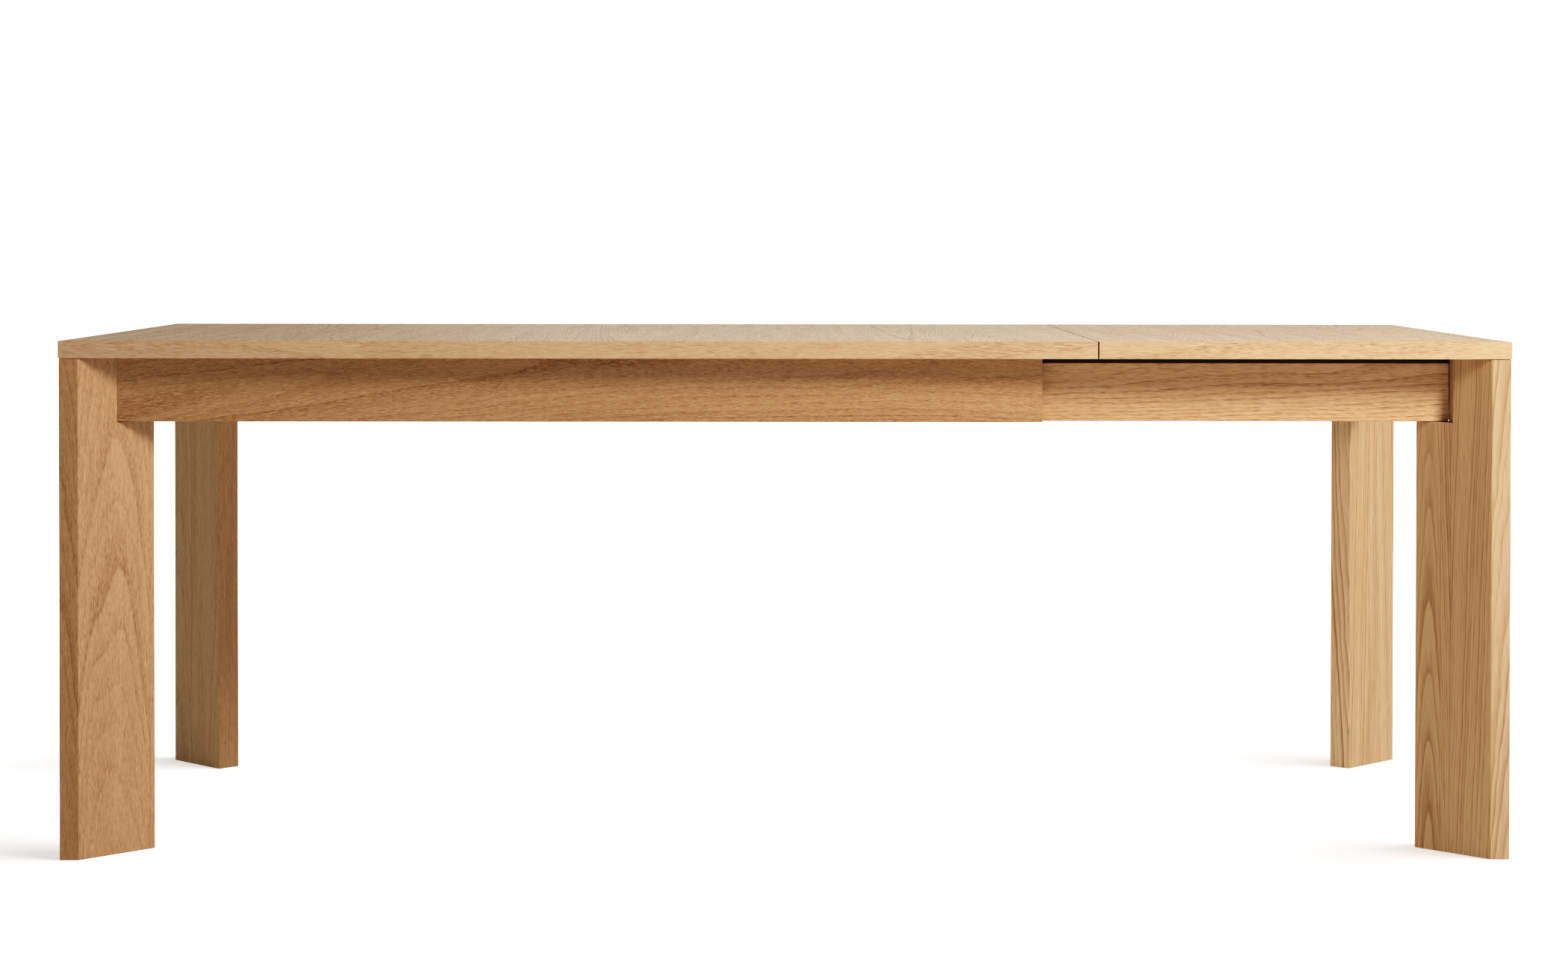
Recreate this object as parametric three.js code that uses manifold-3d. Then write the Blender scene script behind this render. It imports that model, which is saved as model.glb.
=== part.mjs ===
// Extendable dining table in oak, with its end frame pulled out and its leaf in place.
//
// Millimetres, +Z up. The origin is on the floor under the centre of the extended top,
// +X runs along the table towards the end that pulls out, and -Y is the front.
// The left frame carries the main top. The end frame, with the two right legs, runs in
// and out of it on a pair of three-part ball slides.
//
// Distances named IN are measured inward from the nearest edge of the tabletop.

import * as THREE from "three";
import { mergeVertices } from "three/addons/utils/BufferGeometryUtils.js";
import Module from "manifold-3d";

// Tabletop
const MAIN_LENGTH = 1524;
const LEAF_LENGTH = 609.6;
const WIDTH = 914.4;
const HEIGHT = 762;
const TOP_THICKNESS = 25.4;
const TOP_EASE = 0.8;
const TOP_CORNER = 2;
const SEAM = 1.8;
const SEAM_EASE = 0.4;

// Legs: slabs set on the diagonals of the table, with a pointed outer end
const LEG_THICKNESS = 40;
const LEG_DEPTH = 152;
const LEG_SETBACK = 1.2;
const LEG_TOP_GAP = 0.3;
const LEG_EASE = 1.5;
const LEG_END_EASE = 0.8;
const LEG_WALL_IN = 77;
const LEDGE_DROP = 0.6;

// Aprons
const APRON_THICKNESS = 22;
const APRON_BOTTOM = 641;
const APRON_EASE = 1.5;
const OUTER_FACE_IN = 48.8;
const INNER_FACE_IN = 75.4;
const INNER_APRON_TOP = 728;
const INNER_APRON_LENGTH = 1150;
const INNER_APRON_END_IN = 78.2;
const LEFT_END_GAP = 0.3;
const RIGHT_END_GAP = 1.5;
const CLOSED_END_GAP = 0.8;

// Ball slides, one on the back of each inner apron
const SLIDE_LENGTH = 609.6;
const SLIDE_DEPTH = 12.7;
const SLIDE_MIDDLE_Z = 694.5;
const SLIDE_SHEET = 1.2;
const SLIDE_RIGHT = 264.6;
const SLIDE_OUTER_HEIGHT = 45;
const SLIDE_MIDDLE_HEIGHT = 36;
const SLIDE_INNER_HEIGHT = 24;
const SLIDE_OUTER_REACH = 1.5;
const SLIDE_MIDDLE_WEB = 9.2;
const SLIDE_MIDDLE_REACH = 2.4;
const SLIDE_INNER_REACH = 6.2;

// Rails under the main top and across the end frame
const RAIL_THICKNESS = 25;
const RAIL_BOTTOM = 668;
const RAIL_LEFT = -640;
const RAIL_RIGHT = 270;
const CROSS_RAIL_HEIGHT = 44;
const CROSS_RAIL_PLACES = { left: -600, middle: -180, right: 240 };
const RAIL_EASE = 2;
const TAIL_RAIL_WIDTH = 70;
const TAIL_RAIL_BOTTOM = 643;
const TAIL_RAIL_TOP = 662;
const TAIL_RAIL_SETBACK = 12;

// Cleats that carry the leaf
const CLEAT_BOTTOM = 719;
const CLEAT_THICKNESS = 11.7;
const CLEAT_EASE = 1;
const CLEAT_LEFT = 300;
const CLEAT_RIGHT = 995;
const LEAF_REST_GAP = 0.3;

// Corner blocks and their leg bolts
const BLOCK_THICKNESS = 38;
const BLOCK_BOTTOM = 660;
const BLOCK_TOP = 717;
const BLOCK_FIT = 0.3;
const LEFT_BLOCK_AT = 128;
const RIGHT_BLOCK_AT = 143;
const BOLT_Z = 690;
const BOLT_RADIUS = 3;
const BOLT_HOLE_RADIUS = 3.4;
const LEFT_BOLT_ASIDE = 0;
const RIGHT_BOLT_ASIDE = 2;
const BOLT_START = 62;
const BOLT_TAIL = 14;
const WASHER_RADIUS = 9;
const WASHER_THICKNESS = 1.8;
const NUT_RADIUS = 5.8;
const NUT_THICKNESS = 5;

// Levelling feet in the leg bottoms
const FOOT_AT = 70;
const FOOT_RADIUS = 9;
const FOOT_THICKNESS = 5;
const FOOT_RECESS = 0.3;
const FOOT_CHAMFER = 1;
const FOOT_SHOULDER = 1.5;
const FOOT_HOLE_RADIUS = 10.5;
const FOOT_HOLE_DEPTH = 6.5;
const STEM_RADIUS = 4;
const STEM_FILLET = 0.5;
const STEM_TOP = 30;
const INSERT_RADIUS = 6.4;
const INSERT_BORE_RADIUS = 4.4;
const INSERT_BOTTOM = 8;
const INSERT_TOP = 24;
const STEM_HOLE_RADIUS = 6.8;
const STEM_HOLE_TOP = 38;

// Leaf latches: swivelling hooks under the seam
const LATCH_Y = 200;
const LATCH_PIVOT_FROM_SEAM = 40;
const LATCH_REACH = 80;
const LATCH_THICKNESS = 3;
const LATCH_TOP_GAP = 0.3;
const LATCH_BOSS_RADIUS = 12;
const LATCH_OUTER_RADIUS = 95;
const LATCH_SLOT_HALF = 4;
const LATCH_MOUTH_ANGLE = THREE.MathUtils.degToRad(-14);
const LATCH_BACK_ANGLE = THREE.MathUtils.degToRad(10);
const LATCH_HOLE_RADIUS = 3;
const SCREW_RADIUS = 2.5;
const SCREW_HEAD_RADIUS = 6;
const SCREW_HEAD_THICKNESS = 2.5;
const SCREW_CHAMFER = 1.5;
const STUD_RADIUS = 3;
const STUD_CHAMFER = 0.6;
const STUD_DROP = 5.5;
const PILOT_DEPTH = 12;
const PILOT_CLEARANCE = 0.3;

// Facets
const EASE_STEPS = 3;
const ROUND_STEPS = 16;
const WELD_TOLERANCE = 1e-4;

// Worked out from the dimensions above
const LENGTH = MAIN_LENGTH + LEAF_LENGTH;
const LEFT = -LENGTH / 2;
const RIGHT = LENGTH / 2;
const SEAM_X = LEFT + MAIN_LENGTH;
const UNDERSIDE = HEIGHT - TOP_THICKNESS;
const LEG_TOP = UNDERSIDE - LEG_TOP_GAP;
const LEDGE_Z = APRON_BOTTOM - LEDGE_DROP;
const OUTER_BACK_IN = OUTER_FACE_IN + APRON_THICKNESS;
const INNER_BACK_IN = INNER_FACE_IN + APRON_THICKNESS;
const CARRIER_FACE_IN = INNER_BACK_IN + SLIDE_DEPTH;
const CARRIER_BACK_IN = CARRIER_FACE_IN + RAIL_THICKNESS;
const INNER_APRON_RIGHT = RIGHT - INNER_APRON_END_IN;
const INNER_APRON_LEFT = INNER_APRON_RIGHT - INNER_APRON_LENGTH;
const HALF_LEG = LEG_THICKNESS / 2;
const SLIDE_LEFT = SLIDE_RIGHT - SLIDE_LENGTH;
const PIVOT_X = SEAM_X - LATCH_PIVOT_FROM_SEAM;
const STUD_X = PIVOT_X + LATCH_REACH;
const LEFT_CORNER = {
  longApronIn: OUTER_BACK_IN,
  blockAt: LEFT_BLOCK_AT,
  boltFromDiagonal: LEFT_BOLT_ASIDE,
};
const RIGHT_CORNER = {
  longApronIn: INNER_BACK_IN,
  blockAt: RIGHT_BLOCK_AT,
  boltFromDiagonal: RIGHT_BOLT_ASIDE,
};

const OAK_TOP = new THREE.MeshStandardMaterial({ color: 0xd9c3a0, roughness: 0.55, metalness: 0 });
const OAK_APRON = new THREE.MeshStandardMaterial({ color: 0xc9a878, roughness: 0.6, metalness: 0 });
const OAK_LEG = new THREE.MeshStandardMaterial({ color: 0xcbab7e, roughness: 0.6, metalness: 0 });
const FRAME_WOOD = new THREE.MeshStandardMaterial({ color: 0xc4a57a, roughness: 0.75, metalness: 0 });
const BLACK_LACQUER = new THREE.MeshStandardMaterial({ color: 0x20211c, roughness: 0.6, metalness: 0 });
const ZINC_STEEL = new THREE.MeshStandardMaterial({ color: 0xb4b6b8, roughness: 0.35, metalness: 1 });
const LATCH_STEEL = new THREE.MeshStandardMaterial({ color: 0x9a9c9e, roughness: 0.4, metalness: 1 });
const BRASS = new THREE.MeshStandardMaterial({ color: 0xb9974f, roughness: 0.4, metalness: 1 });
const NYLON = new THREE.MeshStandardMaterial({ color: 0x2b2a29, roughness: 0.55, metalness: 0 });

const FRONT_AND_REAR = [
  { name: "front", sign: -1 },
  { name: "rear", sign: 1 },
];

const wasm = await Module();
wasm.setup();

// Solids and meshes

function toSolid(geometry) {
  const bare = geometry.clone();
  bare.deleteAttribute("normal");
  bare.deleteAttribute("uv");
  const welded = mergeVertices(bare, WELD_TOLERANCE);
  const mesh = new wasm.Mesh({
    numProp: 3,
    vertProperties: new Float32Array(welded.attributes.position.array),
    triVerts: new Uint32Array(welded.index.array),
  });
  return new wasm.Manifold(mesh);
}

function toGeometry(solid) {
  const mesh = solid.getMesh();
  const geometry = new THREE.BufferGeometry();
  geometry.setAttribute("position", new THREE.BufferAttribute(mesh.vertProperties, 3));
  geometry.setIndex(new THREE.BufferAttribute(mesh.triVerts, 1));
  geometry.computeVertexNormals();
  return geometry;
}

function cut(geometry, ...tools) {
  return toGeometry(tools.reduce((solid, tool) => solid.subtract(toSolid(tool)), toSolid(geometry)));
}

function join(...geometries) {
  return toGeometry(geometries.map(toSolid).reduce((whole, solid) => whole.add(solid)));
}

function common(...geometries) {
  return toGeometry(geometries.map(toSolid).reduce((whole, solid) => whole.intersect(solid)));
}

function part(name, geometry, material, position = [0, 0, 0]) {
  const mesh = new THREE.Mesh(geometry, material.clone());
  mesh.name = name;
  mesh.position.set(...position);
  return mesh;
}

// Outlines

function point(x, y) {
  return new THREE.Vector2(x, y);
}

function polar(radius, angle) {
  return point(radius * Math.cos(angle), radius * Math.sin(angle));
}

// A polygon whose corners are softened. ease is one size, or a size for each corner.
function easedShape(corners, ease) {
  const shape = new THREE.Shape();
  corners.forEach((corner, i) => {
    const before = corners.at(i - 1);
    const after = corners[(i + 1) % corners.length];
    const size = Array.isArray(ease) ? ease[i] : ease;
    const start = corner.clone().lerp(before, size / corner.distanceTo(before));
    const end = corner.clone().lerp(after, size / corner.distanceTo(after));
    if (i === 0) shape.moveTo(start.x, start.y);
    else shape.lineTo(start.x, start.y);
    if (size > 0) shape.quadraticCurveTo(corner.x, corner.y, end.x, end.y);
  });
  shape.closePath();
  return shape;
}

function rectangle([left, right], [low, high], ease) {
  return easedShape([point(left, low), point(right, low), point(right, high), point(left, high)], ease);
}

// Straight bars. The section lies across the named axis, in (y, z), (z, x) or (x, y).

const ALONG = {
  x: [new THREE.Vector3(0, 1, 0), new THREE.Vector3(0, 0, 1), new THREE.Vector3(1, 0, 0)],
  y: [new THREE.Vector3(0, 0, 1), new THREE.Vector3(1, 0, 0), new THREE.Vector3(0, 1, 0)],
  z: [new THREE.Vector3(1, 0, 0), new THREE.Vector3(0, 1, 0), new THREE.Vector3(0, 0, 1)],
};

function bar(axis, shape, [start, end], steps = EASE_STEPS) {
  const geometry = new THREE.ExtrudeGeometry(shape, {
    depth: end - start,
    bevelEnabled: false,
    curveSegments: steps,
  });
  geometry.translate(0, 0, start);
  return geometry.applyMatrix4(new THREE.Matrix4().makeBasis(...ALONG[axis]));
}

function centred([low, high]) {
  return [(low - high) / 2, (high - low) / 2];
}

function middle([low, high]) {
  return (low + high) / 2;
}

// A straight piece of timber between two corners, with its long edges eased.
function timber(name, material, grain, x, y, z, ease = RAIL_EASE) {
  const size = { x: centred(x), y: centred(y), z: centred(z) };
  const across = { x: ["y", "z"], y: ["z", "x"], z: ["x", "y"] }[grain];
  const section = rectangle(size[across[0]], size[across[1]], ease);
  return part(name, bar(grain, section, size[grain]), material, [x, y, z].map(middle));
}

// The stretch in Y between two depths in from the front or rear edge of the top.
function band(sign, outerIn, innerIn) {
  const edge = (sign * WIDTH) / 2;
  return [edge - sign * outerIn, edge - sign * innerIn].sort((a, b) => a - b);
}

function cylinder(radius, [low, high], steps = ROUND_STEPS) {
  const geometry = new THREE.CylinderGeometry(radius, radius, high - low, steps);
  geometry.rotateX(Math.PI / 2);
  return geometry.translate(0, 0, (low + high) / 2);
}

// A turned piece, from its outline in (radius, z), upright on the Z axis.
function turned(outline) {
  const points = outline.map(([radius, z]) => point(radius, z));
  return new THREE.LatheGeometry(points, ROUND_STEPS).rotateX(Math.PI / 2);
}

// Tabletop panels: eased all round, with a crisp arris along the seam

function panel([left, right], seamSide) {
  const x = [left, right];
  const y = [-WIDTH / 2, WIDTH / 2];
  const z = [UNDERSIDE, HEIGHT];
  const seamOnRight = seamSide === "right";
  const [easeLeft, easeRight] = seamOnRight ? [TOP_EASE, SEAM_EASE] : [SEAM_EASE, TOP_EASE];
  const [cornerLeft, cornerRight] = seamOnRight ? [TOP_CORNER, SEAM_EASE] : [SEAM_EASE, TOP_CORNER];
  const plan = rectangle(x, y, [cornerLeft, cornerRight, cornerRight, cornerLeft]);
  const lengthwise = rectangle(y, z, TOP_EASE);
  const crosswise = rectangle(z, x, [easeLeft, easeLeft, easeRight, easeRight]);
  return common(bar("z", plan, z), bar("x", lengthwise, x), bar("y", crosswise, y));
}

function pilotHole(radius, x, y) {
  const end = UNDERSIDE + PILOT_DEPTH + PILOT_CLEARANCE;
  return cylinder(radius + PILOT_CLEARANCE, [UNDERSIDE - 1, end]).translate(x, y, 0);
}

function mainTop() {
  const holes = FRONT_AND_REAR.map(({ sign }) => pilotHole(SCREW_RADIUS, PIVOT_X, sign * LATCH_Y));
  return part("main_top", cut(panel([LEFT, SEAM_X], "right"), ...holes), OAK_TOP);
}

function leafPanel() {
  const holes = FRONT_AND_REAR.map(({ sign }) => pilotHole(STUD_RADIUS, STUD_X, sign * LATCH_Y));
  return part("leaf_panel", cut(panel([SEAM_X + SEAM, RIGHT], "left"), ...holes), OAK_TOP);
}

// Corners. Each is built in its own turned group: the origin is the leg's outer arris and
// the group's X axis runs inward along the diagonal of the table.

function legPlan(innerEnd) {
  return [point(0, 0), point(HALF_LEG, -HALF_LEG), ...innerEnd, point(HALF_LEG, HALF_LEG)];
}

// A bored hole along the corner's diagonal, or a little to one side of it.
function boltHole(start, finish, aside) {
  return cylinder(BOLT_HOLE_RADIUS, [start, finish]).rotateY(Math.PI / 2).translate(0, aside, BOLT_Z);
}

// An upright post, chamfered round its head and its foot.
function post(plan, [low, high]) {
  const geometry = new THREE.ExtrudeGeometry(plan, {
    depth: high - low - 2 * LEG_END_EASE,
    bevelSize: LEG_END_EASE,
    bevelOffset: -LEG_END_EASE,
    bevelThickness: LEG_END_EASE,
    bevelSegments: 1,
    curveSegments: EASE_STEPS,
  });
  return geometry.translate(0, 0, low + LEG_END_EASE);
}

function leg(boltAside) {
  const squareEnd = [point(LEG_DEPTH, -HALF_LEG), point(LEG_DEPTH, HALF_LEG)];
  const tongueLength = (LEG_WALL_IN - LEG_SETBACK) * Math.SQRT2;
  const shoulder = tongueLength - HALF_LEG;
  const pointedEnd = [point(shoulder, -HALF_LEG), point(tongueLength, 0), point(shoulder, HALF_LEG)];
  const foot = post(easedShape(legPlan(squareEnd), LEG_EASE), [0, LEDGE_Z]);
  const ease = [LEG_EASE, LEG_EASE, 0, 0, 0, LEG_EASE];
  const tongue = post(easedShape(legPlan(pointedEnd), ease), [LEDGE_Z - 2 * LEG_END_EASE, LEG_TOP]);
  const footHole = cylinder(FOOT_HOLE_RADIUS, [-1, FOOT_HOLE_DEPTH]).translate(FOOT_AT, 0, 0);
  const stemHole = cylinder(STEM_HOLE_RADIUS, [0, STEM_HOLE_TOP]).translate(FOOT_AT, 0, 0);
  return cut(join(foot, tongue), footHole, stemHole, boltHole(BOLT_START - 1, 2 * tongueLength, boltAside));
}

// A block across the corner, glued and screwed to the backs of the two aprons that meet there.
// hand tells which side of the diagonal the long apron is on.
function cornerBlock(hand, longApronIn, start, boltAside) {
  const endApronIn = OUTER_BACK_IN;
  const long = longApronIn + BLOCK_FIT - LEG_SETBACK;
  const end = endApronIn + BLOCK_FIT - LEG_SETBACK;
  const onLong = (along) => point(along, hand * (2 * long - along * Math.SQRT2) / Math.SQRT2);
  const onEnd = (along) => point(along, hand * (along * Math.SQRT2 - 2 * end) / Math.SQRT2);
  const finish = start + BLOCK_THICKNESS;
  const outline = [onLong(start), onLong(finish), onEnd(finish), onEnd(start)];
  const body = bar("z", easedShape(outline, 0), [BLOCK_BOTTOM, BLOCK_TOP]);
  return cut(body, boltHole(start - 1, finish + 1, boltAside));
}

function legBolt(blockStart) {
  const face = blockStart + BLOCK_THICKNESS + BLOCK_FIT;
  const shank = cylinder(BOLT_RADIUS, [BOLT_START, face + BOLT_TAIL]);
  const washer = cylinder(WASHER_RADIUS, [face, face + WASHER_THICKNESS]);
  const nutStart = face + WASHER_THICKNESS / 2;
  const nut = cylinder(NUT_RADIUS, [nutStart, nutStart + NUT_THICKNESS], 6);
  return join(shank, washer, nut).rotateY(Math.PI / 2);
}

function threadedInsert() {
  return turned([
    [INSERT_BORE_RADIUS, INSERT_BOTTOM],
    [INSERT_RADIUS, INSERT_BOTTOM],
    [INSERT_RADIUS, INSERT_TOP],
    [INSERT_BORE_RADIUS, INSERT_TOP],
    [INSERT_BORE_RADIUS, INSERT_BOTTOM],
  ]);
}

function levellingFoot() {
  const bottom = FOOT_RECESS;
  const top = FOOT_RECESS + FOOT_THICKNESS;
  return turned([
    [0, bottom],
    [FOOT_RADIUS - FOOT_CHAMFER, bottom],
    [FOOT_RADIUS, bottom + FOOT_CHAMFER],
    [FOOT_RADIUS, top - FOOT_SHOULDER],
    [STEM_RADIUS + FOOT_SHOULDER, top],
    [STEM_RADIUS, top + STEM_FILLET],
    [STEM_RADIUS, STEM_TOP],
    [0, STEM_TOP],
  ]);
}

// Stands a group or a geometry at one corner of the table, turned to face its middle.
function cornerPlace(signX, signY) {
  const x = signX * (RIGHT - LEG_SETBACK);
  const y = signY * (WIDTH / 2 - LEG_SETBACK);
  return new THREE.Matrix4().makeRotationZ(Math.atan2(-signY, -signX)).setPosition(x, y, 0);
}

function corner(name, signX, signY, { longApronIn, blockAt, boltFromDiagonal }) {
  const group = new THREE.Group();
  group.applyMatrix4(cornerPlace(signX, signY));
  const hand = signX * signY;
  const aside = hand * boltFromDiagonal;
  const block = cornerBlock(hand, longApronIn, blockAt, aside);
  group.add(part(`${name}_leg`, leg(aside), OAK_LEG));
  group.add(part(`${name}_corner_block`, block, FRAME_WOOD));
  group.add(part(`${name}_leg_bolt`, legBolt(blockAt), ZINC_STEEL, [0, aside, BOLT_Z]));
  group.add(part(`${name}_foot_insert`, threadedInsert(), BRASS, [FOOT_AT, 0, 0]));
  group.add(part(`${name}_levelling_foot`, levellingFoot(), NYLON, [FOOT_AT, 0, 0]));
  return group;
}

// Aprons

function outerApron({ name, sign }) {
  const x = [LEFT + LEG_WALL_IN + LEFT_END_GAP, SEAM_X - LEG_WALL_IN - CLOSED_END_GAP];
  const y = band(sign, OUTER_FACE_IN, OUTER_BACK_IN);
  return timber(`outer_apron_${name}`, OAK_APRON, "x", x, y, [APRON_BOTTOM, UNDERSIDE], APRON_EASE);
}

// The right leg bolts pass through the ends of the inner aprons on their way to the legs.
function innerApron({ name, sign }) {
  const x = [INNER_APRON_LEFT, INNER_APRON_RIGHT];
  const y = band(sign, INNER_FACE_IN, INNER_BACK_IN);
  const z = [APRON_BOTTOM, INNER_APRON_TOP];
  const apron = timber(`inner_apron_${name}`, OAK_APRON, "x", x, y, z, APRON_EASE);
  const hole = boltHole(BOLT_START, RIGHT_BLOCK_AT, sign * RIGHT_BOLT_ASIDE);
  hole.applyMatrix4(cornerPlace(1, sign));
  hole.translate(...apron.position.toArray().map((value) => -value));
  apron.geometry = cut(apron.geometry, hole);
  return apron;
}

function endApron(name, signX, top, endGap) {
  const x = [signX * (RIGHT - OUTER_FACE_IN), signX * (RIGHT - OUTER_BACK_IN)].sort((a, b) => a - b);
  const reach = WIDTH / 2 - LEG_WALL_IN - endGap;
  return timber(name, OAK_APRON, "y", x, [-reach, reach], [APRON_BOTTOM, top], APRON_EASE);
}

// Rails and cleats

function carrierRail({ name, sign }) {
  const y = band(sign, CARRIER_FACE_IN, CARRIER_BACK_IN);
  const z = [RAIL_BOTTOM, UNDERSIDE];
  return timber(`carrier_rail_${name}`, FRAME_WOOD, "x", [RAIL_LEFT, RAIL_RIGHT], y, z);
}

function crossRail([place, x]) {
  const reach = WIDTH / 2 - CARRIER_BACK_IN;
  const half = RAIL_THICKNESS / 2;
  const z = [UNDERSIDE - CROSS_RAIL_HEIGHT, UNDERSIDE];
  return timber(`cross_rail_${place}`, FRAME_WOOD, "y", [x - half, x + half], [-reach, reach], z);
}

function tailRail() {
  const left = INNER_APRON_LEFT + TAIL_RAIL_SETBACK;
  const reach = WIDTH / 2 - INNER_BACK_IN;
  const z = [TAIL_RAIL_BOTTOM, TAIL_RAIL_TOP];
  return timber("tail_rail", FRAME_WOOD, "y", [left, left + TAIL_RAIL_WIDTH], [-reach, reach], z);
}

// A black strip that stands behind each inner apron and fills the gap over it from within.
function leafCleat({ name, sign }) {
  const y = band(sign, INNER_BACK_IN, INNER_BACK_IN + CLEAT_THICKNESS);
  const z = [CLEAT_BOTTOM, UNDERSIDE - LEAF_REST_GAP];
  return timber(`leaf_cleat_${name}`, BLACK_LACQUER, "x", [CLEAT_LEFT, CLEAT_RIGHT], y, z, CLEAT_EASE);
}

// Ball slides. A member is a channel: its web stands at one depth behind the inner apron
// and its two flanges reach to another.

function channel(sign, height, webAt, flangeTo) {
  const outward = Math.sign(flangeTo - webAt);
  const half = height / 2;
  const webInside = webAt + outward * SLIDE_SHEET;
  const corners = [
    [webAt, -half], [flangeTo, -half], [flangeTo, -half + SLIDE_SHEET], [webInside, -half + SLIDE_SHEET],
    [webInside, half - SLIDE_SHEET], [flangeTo, half - SLIDE_SHEET], [flangeTo, half], [webAt, half],
  ];
  const face = sign * (WIDTH / 2 - INNER_BACK_IN);
  return easedShape(corners.map(([depth, z]) => point(face - sign * depth, z)), 0);
}

function slideMember(name, side, height, webAt, flangeTo, left) {
  const section = channel(side.sign, height, webAt, flangeTo);
  const geometry = bar("x", section, [0, SLIDE_LENGTH]);
  return part(`${name}_${side.name}`, geometry, ZINC_STEEL, [left, 0, SLIDE_MIDDLE_Z]);
}

function slideOuter(side) {
  const [height, reach] = [SLIDE_OUTER_HEIGHT, SLIDE_OUTER_REACH];
  return slideMember("slide_outer", side, height, SLIDE_DEPTH, reach, SLIDE_LEFT);
}

function slideMiddle(side) {
  const [height, reach] = [SLIDE_MIDDLE_HEIGHT, SLIDE_MIDDLE_REACH];
  return slideMember("slide_middle", side, height, SLIDE_MIDDLE_WEB, reach, SLIDE_LEFT + LEAF_LENGTH / 2);
}

function slideInner(side) {
  const [height, reach] = [SLIDE_INNER_HEIGHT, SLIDE_INNER_REACH];
  return slideMember("slide_inner", side, height, 0, reach, SLIDE_LEFT + LEAF_LENGTH);
}

// Leaf latches. The hook lies flat under the seam, turns on a screw in the main top and
// its curved slot takes a stud in the leaf.

function latchHook({ name, sign }) {
  const inner = LATCH_REACH - LATCH_SLOT_HALF;
  const outer = LATCH_REACH + LATCH_SLOT_HALF;
  const mouth = LATCH_MOUTH_ANGLE;
  const shape = new THREE.Shape();
  shape.moveTo(0, -LATCH_BOSS_RADIUS);
  shape.lineTo(...polar(inner, mouth));
  shape.absarc(0, 0, inner, mouth, 0, false);
  shape.absarc(LATCH_REACH, 0, LATCH_SLOT_HALF, Math.PI, 0, true);
  shape.absarc(0, 0, outer, 0, mouth, true);
  shape.lineTo(...polar(LATCH_OUTER_RADIUS, mouth));
  shape.absarc(0, 0, LATCH_OUTER_RADIUS, mouth, LATCH_BACK_ANGLE, false);
  shape.lineTo(0, LATCH_BOSS_RADIUS);
  shape.absarc(0, 0, LATCH_BOSS_RADIUS, Math.PI / 2, (3 * Math.PI) / 2, false);
  const hole = new THREE.Path();
  hole.absarc(0, 0, LATCH_HOLE_RADIUS, 0, 2 * Math.PI, false);
  shape.holes.push(hole);
  const top = UNDERSIDE - LATCH_TOP_GAP;
  const plate = bar("z", shape, [top - LATCH_THICKNESS, top], ROUND_STEPS / 2);
  return part(`latch_hook_${name}`, plate, LATCH_STEEL, [PIVOT_X, sign * LATCH_Y, 0]);
}

function latchScrew({ name, sign }) {
  const headTop = UNDERSIDE - 2 * LATCH_TOP_GAP - LATCH_THICKNESS;
  const headBottom = headTop - SCREW_HEAD_THICKNESS;
  const geometry = turned([
    [0, headBottom],
    [SCREW_HEAD_RADIUS - SCREW_CHAMFER, headBottom],
    [SCREW_HEAD_RADIUS, headBottom + SCREW_CHAMFER],
    [SCREW_HEAD_RADIUS, headTop],
    [SCREW_RADIUS, headTop],
    [SCREW_RADIUS, UNDERSIDE + PILOT_DEPTH],
    [0, UNDERSIDE + PILOT_DEPTH],
  ]);
  return part(`latch_screw_${name}`, geometry, ZINC_STEEL, [PIVOT_X, sign * LATCH_Y, 0]);
}

function leafStud({ name, sign }) {
  const bottom = UNDERSIDE - STUD_DROP;
  const geometry = turned([
    [0, bottom],
    [STUD_RADIUS - STUD_CHAMFER, bottom],
    [STUD_RADIUS, bottom + STUD_CHAMFER],
    [STUD_RADIUS, UNDERSIDE + PILOT_DEPTH],
    [0, UNDERSIDE + PILOT_DEPTH],
  ]);
  return part(`leaf_stud_${name}`, geometry, ZINC_STEEL, [STUD_X, sign * LATCH_Y, 0]);
}

// Assembly

function bothSides(make) {
  return FRONT_AND_REAR.map(make);
}

const leftFrame = new THREE.Group();
leftFrame.add(
  mainTop(),
  corner("left_front", -1, -1, LEFT_CORNER),
  corner("left_rear", -1, 1, LEFT_CORNER),
  ...bothSides(outerApron),
  endApron("left_end_apron", -1, UNDERSIDE, LEFT_END_GAP),
  ...bothSides(carrierRail),
  ...Object.entries(CROSS_RAIL_PLACES).map(crossRail),
  ...bothSides(slideOuter),
  ...bothSides(latchScrew),
);

const endFrame = new THREE.Group();
endFrame.add(
  corner("right_front", 1, -1, RIGHT_CORNER),
  corner("right_rear", 1, 1, RIGHT_CORNER),
  ...bothSides(innerApron),
  endApron("right_end_apron", 1, INNER_APRON_TOP, RIGHT_END_GAP),
  tailRail(),
  ...bothSides(leafCleat),
  ...bothSides(slideInner),
);

const slides = new THREE.Group();
slides.add(...bothSides(slideMiddle));

const leaf = new THREE.Group();
leaf.add(leafPanel(), ...bothSides(leafStud));

const latches = new THREE.Group();
latches.add(...bothSides(latchHook));

const table = new THREE.Group();
table.add(leftFrame, endFrame, slides, leaf, latches);

export default table;
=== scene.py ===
"""Looks for an extendable oak dining table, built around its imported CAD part.

Metres, in the part's own frame: +Z up, the floor at 0, the origin under the centre of the
extended top, +X towards the end that pulls out and -Y the front.
"""

import math
import random

import bmesh
import bpy
from mathutils import Matrix, Vector


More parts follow.
